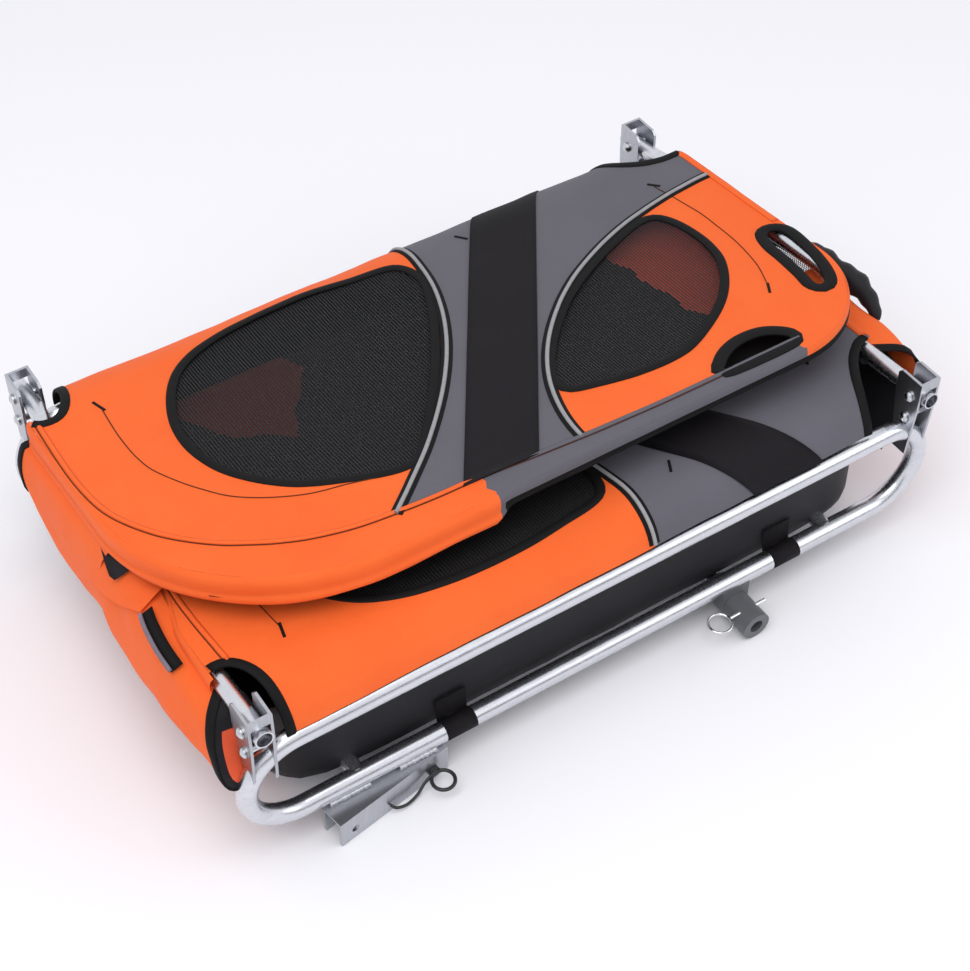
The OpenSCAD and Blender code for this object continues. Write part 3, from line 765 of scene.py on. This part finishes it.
def roof_fold():
    """The roof cloth, laid in flat folds under the right panel."""
    xs = np.linspace(-375, 375, 250)
    upper = even_path([(426, -12), (410, -11.5), (330, -12), (200, -12), (106, -11.5), (90, -14.5)], 3.0)
    lower = even_path([(90, -14.5), (104, -18), (200, -18.5), (330, -18.5), (405, -18)], 6.0)
    depth = np.concatenate([upper, lower[1:]])
    turned = int(np.argmin(depth[:, 0]))
    points, places = [], []
    for k, (s, n) in enumerate(depth):
        pull = np.array([noise.noise(Vector((x / 70, s / 60, 0.0 if k < turned else 4.0))) for x in xs])
        corner = np.clip((np.abs(xs) - 280) / 130, 0, 1) ** 2 * 90
        points.append(frame_point("right", xs * (1 - 0.03 * k / len(depth)), np.minimum(s, 426 - corner) + pull * 4,
                                  n + pull * 1.2))
        places.append(np.stack([xs, np.full(len(xs), s * (1 if k < turned else -1))], axis=1) * MM)
    faces = grid_faces(len(depth), len(xs))
    flat = np.array([(xs[f[0] % len(xs)], depth[f[0] // len(xs)][0]) for f in faces])
    flat += 9 * np.array([noise.noise_vector(Vector((x / 34, s / 34, 9.0)))[:2] for x, s in flat])
    # The upper layer's faces wear the near-black cloth as painted shade, except where a lining patch lies.
    wears = np.array([0 if f[0] // len(xs) >= turned else 3 for f in faces])
    # The first patch wears the darker lining copy as painted shade.
    for k, patch in enumerate(ROOF_LINING):
        wears[inside(flat, np.array(patch, float)) & (wears == 3)] = 1 + k
    roof = mesh_piece("roof_fold_cloth", np.concatenate(points), faces, [GREY, SHADED_LINING, LINING, PAINTED_SHADE_BLACK],
                      BODY["right"], np.concatenate(places), wears)
    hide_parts("roof_cover")


roof_fold()


# Floor tray, straps and walls

TRAY_X, TRAY_Y, TRAY_TOP, TRAY_END, TRAY_FLOOR = 380.0, 242.0, 197.0, 154.0, 36.9
TRAY_LEFT_TOP, TRAY_SQUARENESS = 180.0, 11.0


def floor_tray():
    """Coated cloth tray that hangs between the upper runs."""
    levels = [(TRAY_TOP, 2.0), (166, 0.8), (150, 1.6), (122, 3.2), (96, 3.6), (72, 2.8), (55, 2.4), (45, 3.6),
              (40, 8.0), (TRAY_FLOOR + 0.8, 18.0), (TRAY_FLOOR, 36.0)]
    levels += [(TRAY_FLOOR + 0.4, inset) for inset in (110.0, 190.0, 238.0)]
    ring = []
    for a in np.radians(np.arange(0, 360, 3)):
        c, s = math.cos(a), math.sin(a)
        r = (abs(c / TRAY_X) ** TRAY_SQUARENESS + abs(s / TRAY_Y) ** TRAY_SQUARENESS) ** (-1 / TRAY_SQUARENESS)
        ring.append((r * c, r * s))
    ring = even_path(np.array(ring + ring[:1]), 14.0, True)
    points, places = [], []
    run = run_along(ring)
    for k, (z, inset) in enumerate(levels):
        scale = np.array([1 - inset / TRAY_X, 1 - inset / TRAY_Y])
        p = ring * scale
        wave = np.array([noise.noise(Vector((r / 46, z / 40, 3.3))) for r in run])
        out = p / np.linalg.norm(p, axis=1)[:, None]
        p = p + out * (wave * (1.6 if 1 < k < 8 else 0.3))[:, None]
        ends = np.clip((np.abs(p[:, 0]) - 350) / 22, 0, 1)
        lip = np.where(p[:, 1] > 0, TRAY_LEFT_TOP, TRAY_TOP)
        high = np.minimum(z, lip + (TRAY_END - lip) * ends) + (wave * 0.4 if k > 9 else 0)
        points.append(np.column_stack([p, high]) * MM)
        places.append(np.stack([run, np.full(len(p), k * 18.0)], axis=1) * MM)
    n = len(ring)
    faces = grid_faces(len(levels), n, False, True)
    faces.append(tuple((len(levels) - 1) * n + k for k in range(n)))
    tray = mesh_piece("tray_cloth", np.concatenate(points), [f[::-1] for f in faces], TRAY_CLOTH, "base",
                      np.concatenate(places))
    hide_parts("floor_tray")


floor_tray()

STRAP_X, STRAP_W = (183.0, -237.0), 36.0
LOWER_Z, RUN_R = 47.0, 11.0


def ribbon(name, path, across, thick, material, body):
    """Flat band of even thickness along a path, with its width along a fixed direction."""
    p = np.asarray(path, float)
    d = np.gradient(p, axis=0)
    d /= np.linalg.norm(d, axis=1)[:, None]
    w = np.asarray(across, float)
    out = np.cross(d, w / np.linalg.norm(w))
    corners = [(-0.5, 0.0), (-0.5, 0.7), (-0.47, 1.0), (0.47, 1.0), (0.5, 0.7), (0.5, 0.0)]
    run = run_along(p)
    rows = [p + w * a + out * (thick * b) for a, b in corners]
    places = [np.stack([np.full(len(p), a * np.linalg.norm(w)), run], axis=1) * MM for a, b in corners]
    faces = grid_faces(len(corners), len(p), True) + end_caps(len(corners), len(p))
    return mesh_piece(name, np.concatenate(rows) * MM, faces, material, body, np.concatenate(places))


def floor_straps():
    """Webbing from the tray's wall round the lower runs."""
    first = None
    for side in (1, -1):
        for k, x in enumerate(STRAP_X):
            turn = np.radians(np.linspace(156, -160, 26))
            path = [(x, (TRAY_Y + 0.4) * side, 81), (x, (TRAY_Y + 0.6) * side, 72), (x, (TRAY_Y + 1.6) * side, 61)]
            path += [(x, (HINGE_Y + (RUN_R + 0.4) * math.cos(a)) * side, LOWER_Z + (RUN_R + 0.4) * math.sin(a))
                     for a in turn]
            strap = ribbon(f"floor_strap_{'left' if side > 0 else 'right'}_{k}", smooth_path(path, 5.0),
                           (STRAP_W * side, 0, 0), 1.6, WEBBING, "base")
            first = first or strap
    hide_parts("floor_straps")


floor_straps()


def tube_along(name, path, radius, material, body, sides=8):
    """A round strand along a path; radius is one number or one per point."""
    p = np.asarray(path, float)
    d = np.gradient(p, axis=0)
    d /= np.linalg.norm(d, axis=1)[:, None]
    out = np.cross(d[0], (0.3, 0.2, 0.93))
    rings, run = [], run_along(p)
    size = np.broadcast_to(radius, len(p))
    turn = np.linspace(0, 2 * math.pi, sides, endpoint=False)[:, None]
    for k in range(len(p)):
        out = out - d[k] * (out @ d[k])
        out /= np.linalg.norm(out)
        rings.append(p[k] + size[k] * (np.cos(turn) * out + np.sin(turn) * np.cross(d[k], out)))
    places = np.array([(a * 0.002, r * MM) for r in run for a in range(sides)])
    faces = grid_faces(len(p), sides, False, True)
    last = (len(p) - 1) * sides
    faces += [tuple(range(sides))[::-1], tuple(last + k for k in range(sides))]
    return mesh_piece(name, np.concatenate(rings) * MM, faces, material, body, places)


WALL_ROWS, WALL_COLUMNS = 26, 40


def across_base(piece, side, low, high):
    """Keeps the piece fixed in the object's frame, without bending it between the base and a side frame; side, low and
    high are not used.
    """
    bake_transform(piece)


def wall_sheet(name, rows, material, side, heights, flat, crumple=2.0):
    """A folded wall: lines from its top to its tucked foot, each a curve across the trailer."""
    lines = np.array([spread(smooth_path(row, 4.0), WALL_COLUMNS) for row in rows])
    columns = [spread(smooth_path(lines[:, j], 2.0), WALL_ROWS) for j in range(WALL_COLUMNS)]
    fine = np.array(columns).transpose(1, 0, 2)
    shift = np.array([[noise.noise_vector(Vector((p[0] / 38, p[1] / 38, p[2] / 30))) for p in line] for line in fine])
    fade = np.clip(np.arange(WALL_ROWS) / 5, 0, 1)[:, None, None]
    fine = fine + shift * crumple * fade
    places = np.array([(a, b) for b in np.linspace(0, flat[1], WALL_ROWS)
                       for a in np.linspace(0, flat[0], WALL_COLUMNS)])
    wall = mesh_piece(name, fine.reshape(-1, 3) * MM, grid_faces(WALL_ROWS, WALL_COLUMNS), material, None, places)
    across_base(wall, side, *heights)
    return wall, fine


def edge_binding(name, edge, toward, width, side, heights):
    """Black tape folded over a sheet's edge; toward holds points farther into the sheet."""
    along = np.gradient(edge, axis=0)
    along /= np.linalg.norm(along, axis=1)[:, None] + 1e-9
    into = toward - edge
    into = into - along * (into * along).sum(1)[:, None]
    into /= np.linalg.norm(into, axis=1)[:, None] + 1e-9
    out = np.cross(along, into)
    run = run_along(edge)
    profile = [(-0.12, 0.0), (-0.04, 1.3), (0.9, 1.5), (1.0, 0.9), (1.0, -0.9), (0.9, -1.5), (-0.04, -1.3)]
    rows = [edge + into * (a * width) + out * b for a, b in profile]
    places = [np.stack([np.full(len(edge), a * width), run], axis=1) * MM for a, b in profile]
    faces = grid_faces(len(profile), len(edge), True) + end_caps(len(profile), len(edge))
    piece = mesh_piece(name, np.concatenate(rows) * MM, faces, BINDING, None, np.concatenate(places))
    across_base(piece, side, *heights)


LEFT_RISE, RIGHT_RISE = (0.135, 0.205), (0.150, 0.215)


def under_right_hoop(x, heights):
    """Places 15 mm below the right hoop's plane, at heights along its leg."""
    return [(x, -256 + s * 0.9936, HINGE_Z + s * 0.1132 - 15) for s in heights]


def front_walls():
    """The two halves of the folded front wall, with its flap, its slit, and a small dark sheet of painted shade in the
    gap under the rim.
    """
    _, grid = wall_sheet("front_wall_right", [
        under_right_hoop(423, (58, 110, 165, 215, 262)),
        [(432, -202, 194), (434, -150, 196), (436, -95, 195), (437, -48, 192), (434, -8, 190)],
        [(441, -196, 173), (444, -150, 154), (445, -102, 140), (445, -45, 137), (443, -2, 140)],
        [(436, -184, 148), (434, -150, 130), (434, -102, 118), (434, -45, 116), (430, -2, 120)],
        [(394, -190, 110), (394, -150, 98), (394, -102, 92), (394, -45, 92), (392, -2, 96)]],
        ORANGE, "right", RIGHT_RISE, (0.20, 0.145))
    edge_binding("front_wall_right_binding", grid[:, 0], grid[:, 3], 9.0, "right", RIGHT_RISE)
    near, grid = wall_sheet("front_wall_left", [
        [(392, -26, 204), (396, 30, 205), (402, 76, 205), (404, 120, 202), (404, 165, 202), (404, 198, 203)],
        [(418, -30, 198), (420, 28, 200), (426, 76, 203), (429, 120, 200), (430, 166, 196), (418, 214, 192)],
        [(436, -26, 176), (437, 20, 172), (438, 72, 176), (440, 122, 176), (440, 172, 176), (433, 230, 170)],
        [(442, -14, 146), (446, 20, 138), (447, 70, 134), (447, 124, 138), (446, 182, 148), (437, 246, 146)],
        [(428, -8, 122), (432, 24, 116), (434, 72, 114), (434, 124, 116), (434, 188, 126), (430, 256, 130)],
        [(392, -4, 96), (393, 26, 92), (394, 72, 90), (394, 124, 90), (394, 192, 98), (400, 250, 112)]],
        ORANGE, "left", LEFT_RISE, (0.26, 0.165), crumple=3.0)
    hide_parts("front_drape")
    edge_binding("front_wall_left_binding", grid[:, -1], grid[:, -4], 10.0, "left", LEFT_RISE)
    wall_sheet("front_flap", [
        [(421, -47, 212), (400, 10, 215), (378, 62, 215)],
        [(433, -36, 192), (424, 18, 202), (406, 70, 213)],
        [(443, -20, 164), (440, 30, 181), (430, 78, 207)]],
        ORANGE, "left", LEFT_RISE, (0.12, 0.056), crumple=1.0)
    # A small dark sheet, painted as the shade seen in the gap between the right rim and the flap.
    wall_sheet("front_gap_shade_sheet", [
        [(426, -18, 213), (420, 6, 213), (414, 28, 212)],
        [(431, 2, 208), (428, 15, 207), (424, 27, 207)],
        [(434, 18, 204), (433, 22, 204), (432, 26, 204)]],
        TRAY_CLOTH, "left", LEFT_RISE, (0.045, 0.015), crumple=0.2)
    corner_lining(grid[:, -1])
    for name, shift, width, material in (("front_slit", 0.0, 13.0, BINDING), ("front_slit_edge", 7.0, 4.0, CLEAR_EDGE)):
        path = smooth_path([(x + shift, y, z) for x, y, z in
                            ((424, 80, 208), (428, 100, 209), (430, 128, 206), (429, 154, 203))], 4.0)
        piece = ribbon(name, path, (width, 0, -width * 0.4), 1.2, material, None)
        across_base(piece, "left", *LEFT_RISE)


def corner_lining(edge):
    """Dark cloth inside the front corner, from the wall's bound end to the tray, with a red strip along the tape."""
    inner = spread(smooth_path([(388, 226, 198), (384, 234, 182), (383, 238, 162), (383, 240, 142), (384, 240, 124),
                                (388, 240, 110)], 2.0), len(edge))
    across = np.linspace(0, 1, 9)
    points = np.concatenate([edge + (inner - edge) * t - np.array((6, 4, 0)) * math.sin(math.pi * t) for t in across])
    places = np.array([(t * 0.05, k * 0.005) for t in across for k in range(len(edge))])
    faces = grid_faces(len(across), len(edge))
    wears = [1 if 1 <= f[0] // len(edge) <= 3 and 7 < f[0] % len(edge) < 21 else 0 for f in faces]
    lining = mesh_piece("front_corner_lining", points * MM, faces, [TRAY_CLOTH, LINING], None,
                        places, wears)
    across_base(lining, "left", *LEFT_RISE)


def rear_walls():
    """The folded rear wall: net on the right, cloth on the left, and the rolled net over them."""
    net, _ = wall_sheet("rear_wall_right", [
        under_right_hoop(-419, (92, 160, 230, 290, 330)),
        [(-428, -168, 196), (-432, -100, 200), (-436, -30, 205), (-438, 30, 210), (-436, 78, 212)],
        [(-440, -172, 168), (-445, -100, 170), (-448, -30, 180), (-450, 30, 188), (-448, 92, 190)],
        [(-430, -176, 146), (-434, -100, 145), (-436, -30, 150), (-438, 30, 158), (-436, 100, 160)],
        [(-392, -172, 110), (-394, -100, 100), (-394, -30, 98), (-394, 30, 100), (-392, 96, 104)]],
        NET, "right", RIGHT_RISE, (0.28, 0.15))
    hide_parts("rear_drape")
    _, grid = wall_sheet("rear_wall_left", [
        [(-404, 40, 208), (-404, 88, 206), (-405, 120, 206), (-406, 150, 206), (-404, 178, 204)],
        [(-432, 42, 209), (-433, 92, 208), (-434, 124, 207), (-438, 156, 206), (-436, 200, 204)],
        [(-444, 46, 192), (-445, 96, 190), (-446, 130, 189), (-447, 165, 188), (-444, 222, 186)],
        [(-436, 48, 152), (-438, 98, 150), (-440, 134, 148), (-442, 170, 148), (-436, 226, 150)],
        [(-392, 48, 104), (-393, 98, 102), (-394, 134, 98), (-394, 172, 96), (-392, 224, 100)]],
        ORANGE, "left", LEFT_RISE, (0.175, 0.155))
    wall_sheet("rear_wall_lining", [
        [(-388, 84, 196), (-389, 120, 197), (-390, 150, 197), (-388, 182, 196)],
        [(-418, 90, 196), (-422, 124, 196), (-424, 156, 195), (-420, 206, 192)],
        [(-432, 96, 180), (-434, 130, 179), (-434, 165, 178), (-428, 226, 176)],
        [(-424, 98, 150), (-428, 134, 148), (-428, 170, 148), (-420, 232, 150)],
        [(-388, 98, 112), (-389, 134, 106), (-389, 172, 104), (-388, 234, 106)]],
        TRAY_CLOTH, "left", LEFT_RISE, (0.13, 0.14), crumple=1.0)
    edge_binding("rear_wall_left_binding", grid[:, -1], grid[:, -4], 9.0, "left", LEFT_RISE)
    spine = smooth_path([(-416, -20, 218), (-438, 24, 220), (-452, 70, 216), (-454, 110, 209), (-444, 142, 203)], 5.0)
    t = np.linspace(0, 1, len(spine))
    taper = np.sqrt(np.clip(np.minimum(t * 3.0, (1 - t) * 5.0), 0.04, 1))
    size = 12.0 * taper * (1 + 0.14 * np.sin(t * 21) + 0.1 * np.sin(t * 47))
    roll = tube_along("rear_net_roll", spine, size, TRAY_CLOTH, BODY["right"], 18)


front_walls()
rear_walls()


# Weld beads and the lock pins' tethers

CHANNEL_X, CHANNEL_OUT, CHANNEL_YAW = 276, 10, math.radians(9.5)


def channel_place(x, out, z, side):
    """A place on a tow channel: along it from its middle, out from its middle line, and height, in millimetres."""
    c, s = math.cos(CHANNEL_YAW), math.sin(CHANNEL_YAW)
    y = HINGE_Y + x * s + (CHANNEL_OUT + out) * c
    return CHANNEL_X + x * c - (CHANNEL_OUT + out) * s, side * y, z


def channel_details():
    """Weld beads along the channels, and the cords that hold the lock pins."""
    for side, word in ((1, "left"), (-1, "right")):
        for k, (ahead, back) in enumerate(((338, 292), (258, 214))):
            path = even_path([(ahead, side * 265.0, 38.2), (back, side * 265.0, 38.2)], 1.5)
            bead = 3.0 + 0.6 * np.sin(np.arange(len(path)) * 1.9) + 0.4 * np.sin(np.arange(len(path)) * 0.7)
            tube_along(f"weld_bead_{k}_{word}", path, bead, WELD, "base")
        eye = np.array(channel_place(8, 15.2, 12, side))
        line = smooth_path([eye, channel_place(4, 20, 8, side), channel_place(-8, 22, 4, side),
                            channel_place(-22, 21, 5, side), channel_place(-34, 19, 12, side),
                            channel_place(-44, 19, 17, side), channel_place(-50, 19, 20, side)], 2.5)
        tether = tube_along(f"pin_tether_{word}", line, 1.7, PIN_BLACK, "base")


channel_details()

# Finishes of the tubes, sheet parts and small hardware
for material, names in (
        (TUBE, "side_loop_left side_loop_right cross_tubes axle_tube hoop_left hoop_right"),
        (SHEET_STEEL, "bracket_front_left bracket_rear_left bracket_front_right bracket_rear_right"),
        (SHEET_STEEL, "tow_channel_left tow_channel_right"), (BOLT_STEEL, "hinge_bolts bracket_bolts"),
        (PIN_BLACK, "tow_pins"), (SOCKET_GREY, "axle_socket_left axle_socket_right"), (BRIGHT_WIRE, "axle_clips")):
    for name in names.split():
        nodes[name].data.materials.clear()
        nodes[name].data.materials.append(material)


# Floor and light

AMBIENT = 0.72


class Room(Finish):
    """The studio's world, with the same node calls as a finish."""

    def __init__(self, tree):
        self.tree = tree


def stage_sheet(name, corners, material):
    data = bpy.data.meshes.new(name)
    data.from_pydata(corners, [], [(0, 1, 2, 3)])
    data.materials.append(material)
    sheet = bpy.data.objects.new(name, data)
    scene.collection.objects.link(sheet)
    return sheet


def studio():
    """Pale floor, a dark card that only metal reflects, an even world and two soft lamps."""
    pale = Finish("pale_floor", Roughness=0.9, Specular_IOR_Level=0.1)
    tone = pale.spots(pale.own_place(), 0.8, 1.0)
    pale.finish(pale.mix(tone, (0.945, 0.94, 0.972, 1), (0.962, 0.957, 0.985, 1)))
    stage_sheet("floor", [(x, y, -0.0005) for x, y in ((-6, -6), (6, -6), (6, 6), (-6, 6))], pale.material)
    black = Finish("card_black", Base_Color=(0.06, 0.06, 0.065, 1), Roughness=1.0)
    card = stage_sheet("dark_card", [(-3, 2.4, 0.5), (3, 2.4, 0.5), (3, 2.9, 1.25), (-3, 2.9, 1.25)], black.material)
    card.visible_camera = card.visible_diffuse = card.visible_shadow = False
    world = bpy.data.worlds.new("studio")
    scene.world = world
    world.use_nodes = True
    tree = world.node_tree
    room = Room(tree)
    path = room.node("LightPath")
    shown = Val(room, path.outputs["Is Camera Ray"]) + Val(room, path.outputs["Is Glossy Ray"]) \
        + Val(room, path.outputs["Is Transmission Ray"])
    shown = room.math("MINIMUM", shown, 1.0)
    back = tree.nodes["Background"]
    back.inputs["Color"].default_value = (0.96, 0.965, 1.0, 1)
    room.put(back.inputs["Strength"], AMBIENT + shown * (1 - AMBIENT))
    for name, at, size, power in (("key", (0.9, 0.6, 2.6), 2.2, 34), ("fill", (-1.8, 1.8, 1.7), 1.8, 11)):
        lamp = bpy.data.lights.new(name, "AREA")
        lamp.energy, lamp.size = power, size
        obj = bpy.data.objects.new(name, lamp)
        obj.location = at
        obj.rotation_euler = (Vector((0, 0, 0.15)) - Vector(at)).to_track_quat("-Z", "Y").to_euler()
        scene.collection.objects.link(obj)


studio()
